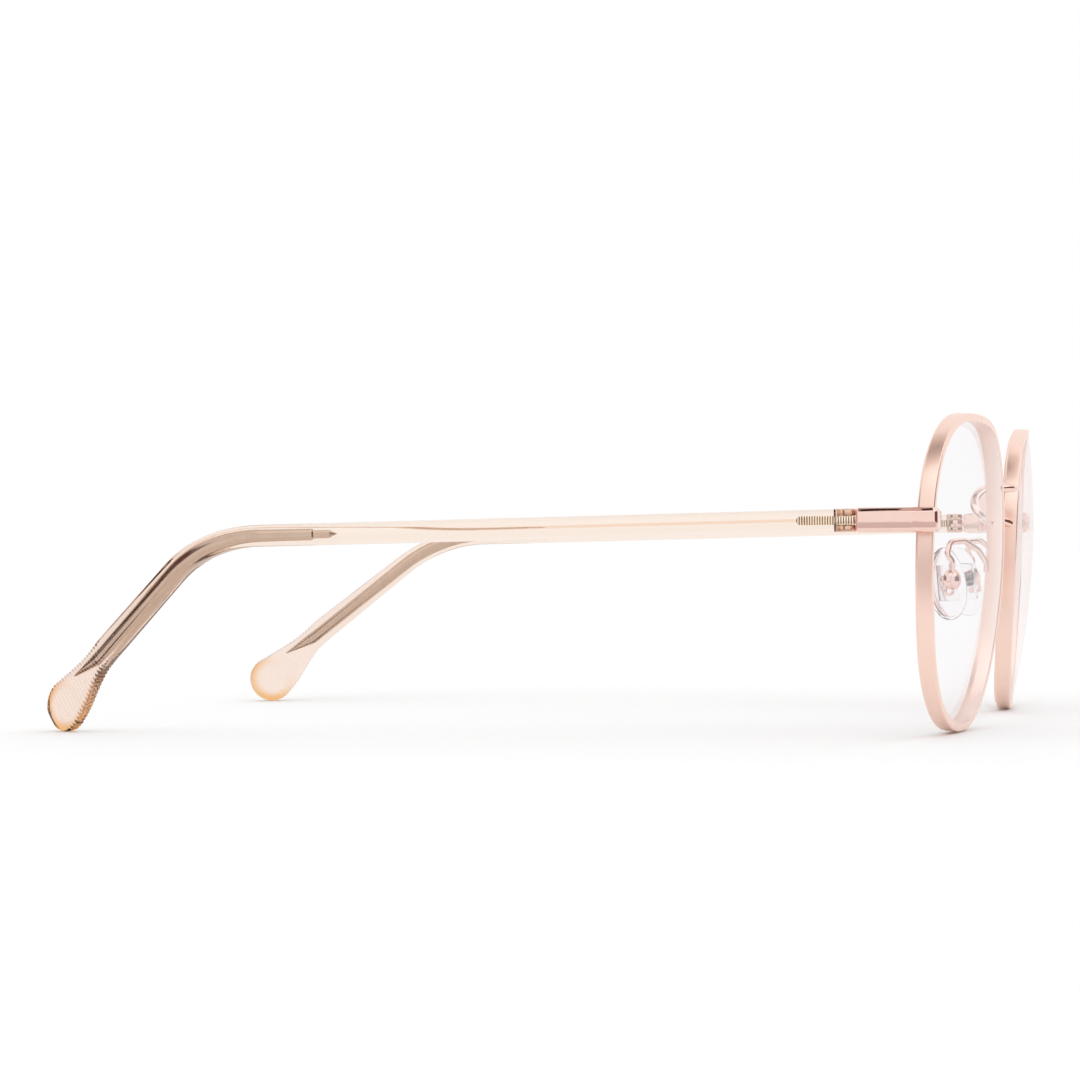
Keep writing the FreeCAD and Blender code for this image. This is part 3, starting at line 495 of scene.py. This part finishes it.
def end_piece(bm):
    """A chamfered plate along the temple's line that turns a corner, past a small block, to the rim."""
    inside, block_outside = PLATE_OUTSIDE - PLATE_THICKNESS, PLATE_OUTSIDE - PLATE_STEP
    start = LOCK_INSIDE + 0.35
    corners = [(start, PLATE_FRONT), (block_outside, PLATE_FRONT),
               (block_outside, STEP_FRONT), (PLATE_OUTSIDE, STEP_REAR),
               (PLATE_OUTSIDE, PLATE_REAR), (inside, PLATE_REAR),
               (inside, PLATE_JOINT), (start, PLATE_JOINT)]
    bottom = HINGE.z - PLATE_HEIGHT / 2
    face = bm.faces.new([bm.verts.new((x, y, bottom)) for x, y in corners])
    raised = bmesh.ops.extrude_face_region(bm, geom=[face])["geom"]
    tops = [part for part in raised if isinstance(part, bmesh.types.BMVert)]
    bmesh.ops.translate(bm, vec=(0, 0, PLATE_HEIGHT), verts=tops)

    def upright_at(x, y):
        return [edge for edge in bm.edges
                if all(math.hypot(vert.co.x - x, vert.co.y - y) < 1e-3 for vert in edge.verts)]

    for x, y, radius in ((block_outside, PLATE_FRONT, PLATE_NOSE),
                         (inside, PLATE_JOINT, PLATE_CORNER - PLATE_THICKNESS)):
        bmesh.ops.bevel(bm, geom=upright_at(x, y), offset=radius, affect="EDGES", segments=10,
                        profile=0.5, material=-1, clamp_overlap=True)
    bmesh.ops.recalc_face_normals(bm, faces=bm.faces)

    def on_show(edge):
        """Top and bottom edges of the faces that look outwards and forwards."""
        first, second = (vert.co for vert in edge.verts)
        middle = (first + second) / 2
        outer = middle.y < PLATE_FRONT + PLATE_NOSE + 0.02 or middle.x > block_outside - 0.05
        return abs(first.z - second.z) < 1e-3 and outer

    bmesh.ops.bevel(bm, geom=[edge for edge in bm.edges if on_show(edge)], offset=PLATE_CHAMFER,
                    affect="EDGES", segments=1, profile=0.5, material=-1, clamp_overlap=False)
    soften(bm, 0.10, 3, 22)


def lock_half(low, high):
    """One half of the rim lock, between two heights."""
    def make(bm):
        front = PLATE_JOINT + LOCK_PLAY
        rear = front + LOCK_DEPTH
        block(bm, (LOCK_INSIDE + 0.2, front, low), (LOCK_INSIDE + LOCK_WIDTH, rear, high), 0.25)
    return make


def lock_screw(bm):
    """The rim lock's screw, its slotted head below."""
    seat = Vector((LOCK_SCREW, PLATE_JOINT + LOCK_PLAY + LOCK_DEPTH / 2, HINGE.z - LOCK_HALF))
    slotted_head(bm, 0.75, 0.4, Matrix.Translation(seat + Vector((0, 0, 0.3)))
                 @ Matrix.Rotation(math.pi, 4, "X"))
    barrel(bm, 0.5, -1.5, 1.5, 0.1, Matrix.Translation(seat + Vector((0, 0, LOCK_HALF))))


def front_hinge(bm):
    """The block on the end piece with the middle barrel."""
    outside = PLATE_OUTSIDE - PLATE_THICKNESS
    inside = outside - HINGE_BLOCK_WIDTH
    half, low, high = HINGE_HEIGHT / 2, HINGE.z - MIDDLE_HALF, HINGE.z + MIDDLE_HALF
    block(bm, (inside, 8.4, HINGE.z - half), (outside, 11.7, HINGE.z + half), 0.22)
    block(bm, (inside, 11.5, low), (HINGE.x + 0.9, HINGE.y, high), 0.08)
    barrel(bm, MIDDLE_RADIUS, -MIDDLE_HALF, MIDDLE_HALF, 0.1, Matrix.Translation(HINGE))


def fork(bm):
    """The top and bottom barrels and the plate on the temple's end."""
    half = HINGE_HEIGHT / 2
    for low, high in ((-half, -half + BARREL_HEIGHT), (half - BARREL_HEIGHT, half)):
        barrel(bm, BARREL_RADIUS, low, high, 0.16, Matrix.Translation(HINGE))
        block(bm, (HINGE.x - 0.8, HINGE.y, HINGE.z + low),
              (HINGE.x + 1.0, FORK_FRONT + 0.1, HINGE.z + high), 0.1)
    block(bm, (HINGE.x, FORK_FRONT, HINGE.z - half), (HINGE.x + 2.1, FORK_REAR, HINGE.z + half), 0.08)


def tang(bm):
    """The ribbed tongue in the temple's end, outside the middle barrel."""
    stations = []
    count = 200
    for index in range(count + 1):
        along = TANG_FRONT + (TANG_REAR - TANG_FRONT) * index / count
        rib = min(1.0, 1.3 - 1.3 * math.cos(2 * math.pi * (along - TANG_FRONT) / TANG_PITCH))
        near_end = max((along - (TANG_REAR - TANG_HALF)) / TANG_HALF, 0)
        high = TANG_HALF * math.sqrt(max(1 - near_end ** 2, 0.02))
        centre = Vector((TANG_SEAT, along, HINGE.z))
        stations.append(station(centre, Vector((0, 0, 1)), Vector((1, 0, 0)), high, 0.22 + 0.205 * rib))
    sweep(bm, stations, 28, 5.0)


def hinge_screw(bm):
    """The slotted screw on the hinge axis."""
    top = HINGE_HEIGHT / 2
    slotted_head(bm, 0.9, 0.4, Matrix.Translation(HINGE + Vector((0, 0, top - 0.34)))
                 @ Matrix.Rotation(math.radians(35), 4, "Z"))
    barrel(bm, 0.6, -top + 0.02, top - 0.3, 0.1, Matrix.Translation(HINGE))


MIDDLE_GAP = RIM_SPLIT / 2
ARM = "temple_{side}_arm"
pair("end_plate", end_piece, BRIGHT_ROSE, "rose_gold", "front", ["end_piece"], sharp=50)
pair("lock_top", lock_half(HINGE.z + MIDDLE_GAP, HINGE.z + LOCK_HALF), ROSE_GOLD, "rose_gold", "front",
     ["rim_lock_upper"])
pair("lock_base", lock_half(HINGE.z - LOCK_HALF, HINGE.z - MIDDLE_GAP), ROSE_GOLD, "rose_gold", "front",
     ["rim_lock_lower"])
pair("lock_bolt", lock_screw, SCREW_STEEL, "screw", "front", ["rim_lock_screw"])
pair("hinge_block", front_hinge, BRIGHT_ROSE, "hinge_metal", "front", ["front_hinge"])
pair("hinge_fork", fork, HINGE_GOLD, "hinge_metal", ARM, ["temple_hinge"])
pair("ribbed_tang", tang, TANG_GOLD_PAINTED_SHADE, "hinge_metal", ARM, sharp=70)
pair("hinge_bolt", hinge_screw, SCREW_STEEL, "screw", ARM, ["hinge_screw"])


# ---------------------------------------------------------------- temples

AHEAD = (TEMPLE_ELBOW - TEMPLE_START).normalized()
DOWN = (TEMPLE_END - TEMPLE_ELBOW).normalized()
TURN = AHEAD.angle(DOWN)
SETBACK = BEND_RADIUS * math.tan(TURN / 2)
RUN = (TEMPLE_ELBOW - TEMPLE_START).length - SETBACK
BEND = BEND_RADIUS * TURN
LENGTH = RUN + BEND + (TEMPLE_END - TEMPLE_ELBOW).length - SETBACK


def route(distance):
    """The point, the direction, the way sideways and the way up at a distance along the temple."""
    if distance <= RUN:
        point, along = TEMPLE_START + AHEAD * distance, AHEAD
    elif distance <= RUN + BEND:
        angle = (distance - RUN) / BEND_RADIUS
        inward = (DOWN - AHEAD * math.cos(TURN)).normalized()
        centre = TEMPLE_START + AHEAD * RUN + inward * BEND_RADIUS
        point = centre + (AHEAD * math.sin(angle) - inward * math.cos(angle)) * BEND_RADIUS
        along = AHEAD * math.cos(angle) + inward * math.sin(angle)
    else:
        point, along = TEMPLE_ELBOW + DOWN * (SETBACK + distance - RUN - BEND), DOWN
    side = Vector((-along.y, along.x, 0)).normalized()
    return point, along, side, along.cross(side)


def ease(value):
    """A smooth step from 0 to 1."""
    value = min(max(value, 0.0), 1.0)
    return value * value * (3 - 2 * value)


def steps(low, high, step):
    """Even steps from low up to, but not including, high."""
    count = max(int(math.ceil((high - low) / step)), 1)
    return [low + (high - low) * index / count for index in range(count)]


def temple(bm):
    """The clear bar, widening into a round tip with moulded ribs along both edges."""
    rib_start, rib_end, end = LENGTH - RIB_RUN, LENGTH + 2.6, LENGTH + TIP_RADIUS * 0.997
    places = (steps(0.01, RUN, 3.0) + steps(RUN, rib_start - 2, 0.6)
              + steps(rib_start - 2, rib_end, 0.09) + steps(rib_end, end, 0.06) + [end])
    stations = []
    for distance in places:
        point, _, side, up = route(distance)
        past = distance - LENGTH
        stem = TEMPLE_HEIGHT / 2 * (1 + 0.3 * ease((distance - RUN) / 45))
        high = stem + (0.97 * TIP_RADIUS - stem) * ease((past + 11) / 11)
        if past > -TIP_RADIUS:
            disc = math.sqrt(max(TIP_RADIUS ** 2 - past ** 2, 0))
            high = max(high, disc) if past < 0 else disc
        ribs = ease((distance - rib_start) / 2.0) * ease((LENGTH + 2.2 - distance) / 2.5)
        groove = RIB_DEPTH * ribs * (0.5 + 0.5 * math.cos(2 * math.pi * distance / RIB_PITCH))
        high -= groove
        thin = ease((distance - RUN) / (LENGTH - RUN))
        wide = (TEMPLE_THICKNESS + (TIP_THICKNESS - TEMPLE_THICKNESS) * thin) / 2
        wide -= 0.25 * groove
        closing = min(max((past - TIP_RADIUS + 0.9) / 0.9, 0), 0.995)
        wide *= math.sqrt(1 - closing ** 2)
        centre = point - up * (TIP_DROP * ease((past + 14) / 13))
        stations.append(station(centre, side, up, wide, high))
    sweep(bm, stations, 44, 4.2)


def core(bm):
    """The stiffening wire: a pointed neck, an even rod and a slanting, serrated end."""
    rod, cut_start = CORE_SHOULDER + 1.2, CORE_END - CORE_SLANT
    places = (steps(CORE_START, rod, 0.12) + steps(rod, cut_start, 0.6)
              + steps(cut_start, CORE_END, 0.07) + [CORE_END])
    stations = []
    for distance in places:
        point, _, side, up = route(distance)
        radius = CORE_NECK * min(max((distance - CORE_START) / 1.3, 0.06), 1)
        radius += (CORE_RADIUS - CORE_NECK) * ease((distance - CORE_SHOULDER) / 0.5)
        high = radius * (1 + 0.22 * ease((distance - CORE_SHOULDER) / 25))
        top = high
        cut = max((distance - CORE_END + CORE_SLANT) / CORE_SLANT, 0)
        high *= 1 - 0.9 * cut
        if cut > 0:
            tooth = 0.5 + 0.5 * math.cos(2 * math.pi * distance / TOOTH_PITCH)
            high -= TOOTH_DEPTH * tooth * (1 - cut)
        stations.append(station(point + up * (top - high), side, up, radius, high))
    sweep(bm, stations, 28, 2.3)


_, _, _, TIP_UP = route(LENGTH)
PEACH = peach_plastic(HOME @ (TEMPLE_END - TIP_UP * TIP_DROP), DOWN)
pair("temple_clear", temple, PEACH, "clear_peach", ARM, ["temple"], sharp=60)
pair("core_rod", core, CORE_GOLD, "core_metal", ARM, ["core_wire"], sharp=50)


# ---------------------------------------------------------------- nose pads

def pad_frame():
    """The pad screw's own frame: X across the pad from rear to front, Y up the pad, Z to the nose."""
    inward = Vector((-math.cos(PAD_SPLAY), math.sin(PAD_SPLAY), 0))
    upward = Vector((0, 0, 1))
    face = inward * math.cos(PAD_FLARE) - upward * math.sin(PAD_FLARE)
    length = upward * math.cos(PAD_FLARE) + inward * math.sin(PAD_FLARE)
    return Matrix.Translation(PAD_SEAT) @ Matrix((length.cross(face), length, face)).transposed().to_4x4()


PAD = pad_frame()
ALONG_X = Matrix.Rotation(math.radians(90), 4, "Y")


def nose_pad(bm):
    """A soft drop-shaped oval: flat back, domed face."""
    bmesh.ops.create_uvsphere(bm, u_segments=48, v_segments=28, radius=1.0)
    bmesh.ops.bisect_plane(bm, geom=bm.verts[:] + bm.edges[:] + bm.faces[:], dist=1e-5,
                           plane_co=(0, 0, 0), plane_no=(0, 0, 1), clear_inner=True)
    bmesh.ops.holes_fill(bm, edges=[edge for edge in bm.edges if edge.is_boundary], sides=0)
    for vert in bm.verts:
        up = vert.co.y
        wide = PAD_WIDTH * (1 - 0.10 * up) * 0.94
        vert.co = Vector((vert.co.x * wide, up * PAD_LENGTH, PAD_BACK + vert.co.z * PAD_DOME))
    bmesh.ops.recalc_face_normals(bm, faces=bm.faces)
    soften(bm, 0.32, 4, 50)
    bmesh.ops.transform(bm, matrix=PAD, verts=bm.verts)


def pad_stud(bm):
    """The lug on the pad's back with the plate that carries the pad."""
    barrel(bm, 0.8, -STUD_HALF, STUD_HALF, 0.1, PAD @ ALONG_X)
    block(bm, (-STUD_HALF, -0.8, 0), (STUD_HALF, 0.8, PAD_BACK - 0.2), 0.12, PAD)
    block(bm, (-1.75, -3.0, PAD_BACK - 0.4), (1.75, 3.0, PAD_BACK - 0.02), 0.12, PAD)


def pad_box(bm):
    """A rounded housing with two cheeks that carry the pad screw."""
    made = bmesh.ops.create_uvsphere(bm, u_segments=40, v_segments=24, radius=1.0)["verts"]
    bmesh.ops.scale(bm, vec=(1.5, 1.8, BOX_BACK), verts=made)
    bmesh.ops.bisect_plane(bm, geom=bm.verts[:] + bm.edges[:] + bm.faces[:], dist=1e-5,
                           plane_co=(0, 0, 0), plane_no=(0, 0, 1), clear_outer=True)
    bmesh.ops.holes_fill(bm, edges=[edge for edge in bm.edges if edge.is_boundary], sides=0)
    bmesh.ops.recalc_face_normals(bm, faces=bm.faces)
    soften(bm, 0.12, 3, 50)
    bmesh.ops.translate(bm, vec=(0, 0, -0.88), verts=bm.verts)
    bmesh.ops.transform(bm, matrix=PAD, verts=bm.verts)
    for low, high in ((-CHEEK_OUT, -CHEEK_IN), (CHEEK_IN, CHEEK_OUT)):
        barrel(bm, CHEEK_RADIUS, low, high, 0.12, PAD @ ALONG_X)
        block(bm, (low, -CHEEK_RADIUS, -1.1), (high, CHEEK_RADIUS, 0), 0.1, PAD)


def pad_screw(bm):
    """The slotted screw through the pad box, its domed head to the rear."""
    slotted_head(bm, CHEEK_RADIUS, 0.55, PAD @ Matrix.Translation((-CHEEK_OUT, 0, 0))
                 @ Matrix.Rotation(math.radians(-90), 4, "Y") @ Matrix.Rotation(math.radians(20), 4, "Z"),
                 dome=0.45)
    barrel(bm, 0.4, -CHEEK_OUT, CHEEK_OUT + 0.05, 0.08, PAD @ ALONG_X)


def pad_arm(bm):
    """The bent wire from the rim over to the pad box, with its curled end below."""
    behind = -BOX_BACK - ARM_RADIUS
    path = [Vector((9.35, -0.75, 24.2)), Vector((9.35, -0.75, 25.6)), Vector((9.6, 0.5, 27.7)),
            Vector((10.7, 2.6, 29.2)), Vector((12.3, 4.7, 29.0)), Vector((13.5, 5.0, 27.0)),
            PAD @ Vector((0, 2.9, behind)), PAD @ Vector((0, 1.3, -BOX_BACK))]
    wire(bm, rounded(path, 1.1, 0.12), ARM_RADIUS)
    centre = Vector((-0.75, -1.95, -1.2))
    made = bmesh.ops.create_circle(bm, cap_ends=True, segments=16, radius=CURL_THIN)["verts"]
    bmesh.ops.transform(bm, matrix=Matrix.Translation(centre + Vector((CURL_RADIUS, 0, 0)))
                        @ Matrix.Rotation(math.radians(90), 4, "X"), verts=made)
    faces = list({face for vert in made for face in vert.link_faces})
    edges = list({edge for face in faces for edge in face.edges})
    bmesh.ops.spin(bm, geom=faces + made + edges, cent=centre, axis=(0, 0, 1),
                   angle=math.radians(-285), steps=40)
    curl = [vert for vert in bm.verts if (vert.co - centre).length < CURL_RADIUS + 2 * CURL_THIN]
    bmesh.ops.transform(bm, matrix=PAD, verts=curl)


ROCKER = "nose_pad_{side}_rocker"
pair("soft_pad", nose_pad, SILICONE, "silicone", ROCKER, ["nose_pad"])
pair("pad_lug", pad_stud, SILICONE, "silicone", ROCKER, ["pad_stud"])
pair("pad_housing", pad_box, BRIGHT_ROSE, "rose_gold", "front", ["pad_box"])
pair("pad_bolt", pad_screw, SCREW_STEEL, "screw", "front", ["pad_screw"])
pair("pad_wire", pad_arm, BRIGHT_ROSE, "rose_gold", "front", ["pad_arm"], sharp=60)


# ---------------------------------------------------------------- floor, light and camera

def studio_floor():
    """White paper, just under the piece."""
    recipe = Recipe("floor_paper")
    grain = recipe.noise(900)
    colour = recipe.blend(grain, (0.93, 0.93, 0.93), (0.91, 0.91, 0.91))
    surface = recipe.node("ShaderNodeBsdfPrincipled", {}, {
        "Base Color": colour, "Roughness": 0.9, "Specular IOR Level": 0.1})
    bm = bmesh.new()
    bmesh.ops.create_grid(bm, x_segments=1, y_segments=1, size=6.0)
    mesh = bpy.data.meshes.new("floor")
    bm.to_mesh(mesh)
    bm.free()
    mesh.materials.append(recipe.finish(surface))
    floor = bpy.data.objects.new("floor", mesh)
    floor.location.z = -0.00005
    bpy.context.scene.collection.objects.link(floor)


def flag(name, place, aim, wide, high, shade, through=False):
    """A card that only shows in reflections, or also through clear plastic."""
    recipe = Recipe(name)
    recipe.finish(recipe.node("ShaderNodeEmission", {}, {"Color": (*shade, 1), "Strength": 1.0}))
    bm = bmesh.new()
    bmesh.ops.create_grid(bm, x_segments=1, y_segments=1, size=0.5)
    mesh = bpy.data.meshes.new(name)
    bm.to_mesh(mesh)
    bm.free()
    mesh.materials.append(recipe.material)
    card = bpy.data.objects.new(name, mesh)
    card.location = place
    card.rotation_euler = (Vector(place) - Vector(aim)).to_track_quat("Z", "Y").to_euler()
    card.scale = (wide, high, 1)
    card.visible_camera = card.visible_diffuse = card.visible_shadow = False
    card.visible_transmission = through
    bpy.context.scene.collection.objects.link(card)


def sky():
    """Even white light all round."""
    world = bpy.data.worlds.new("white_studio")
    world.use_nodes = True
    world.node_tree.nodes["Background"].inputs["Color"].default_value = (1, 1, 1, 1)
    world.node_tree.nodes["Background"].inputs["Strength"].default_value = 1.0
    bpy.context.scene.world = world


def overhead():
    """A wide soft light from above."""
    lamp = bpy.data.lights.new("overhead", "SUN")
    lamp.angle = math.radians(70)
    lamp.energy = 0.35
    holder = bpy.data.objects.new("overhead", lamp)
    holder.rotation_euler = (math.radians(12), math.radians(-14), 0)
    bpy.context.scene.collection.objects.link(holder)


def camera():
    """A long lens at hinge height, on the right and a little in front."""
    optics = bpy.data.cameras.new("camera")
    optics.lens, optics.sensor_width = 104.9, 36.0
    optics.shift_y = 0.00175
    eye = bpy.data.objects.new("camera", optics)
    place = HOME @ Vector((-515.66, -60.58, 29.6))
    heading, roll = math.radians(14.81 - 90), math.radians(-0.49)
    eye.matrix_world = (Matrix.Translation(place) @ Matrix.Rotation(heading, 4, "Z")
                        @ Matrix.Rotation(math.radians(90), 4, "X") @ Matrix.Rotation(roll, 4, "Z"))
    bpy.context.scene.collection.objects.link(eye)
    bpy.context.scene.camera = eye


studio_floor()
sky()
overhead()
camera()
MIDDLE = (-0.06, -0.06, 0.03)
flag("dark_ceiling", (-0.062, 0.015, 0.55), MIDDLE, 0.10, 0.20, (0.015, 0.012, 0.010))
flag("brown_ceiling", (-0.062, 0.015, 0.57), MIDDLE, 0.42, 0.42, (0.62, 0.53, 0.50))
flag("front_wall", (-0.20, -0.75, 0.25), (-0.20, 0, 0.25), 0.9, 0.5, (0.16, 0.08, 0.08), True)
flag("rear_wall", (-0.10, 0.75, 0.25), (-0.10, 0, 0.25), 0.9, 0.5, (0.16, 0.08, 0.08), True)
flag("grey_near_floor", (-0.45, -0.10, 0.002), (-0.45, -0.10, 0), 0.70, 0.9, (0.70, 0.64, 0.64))
bpy.context.scene.view_settings.view_transform = "Standard"
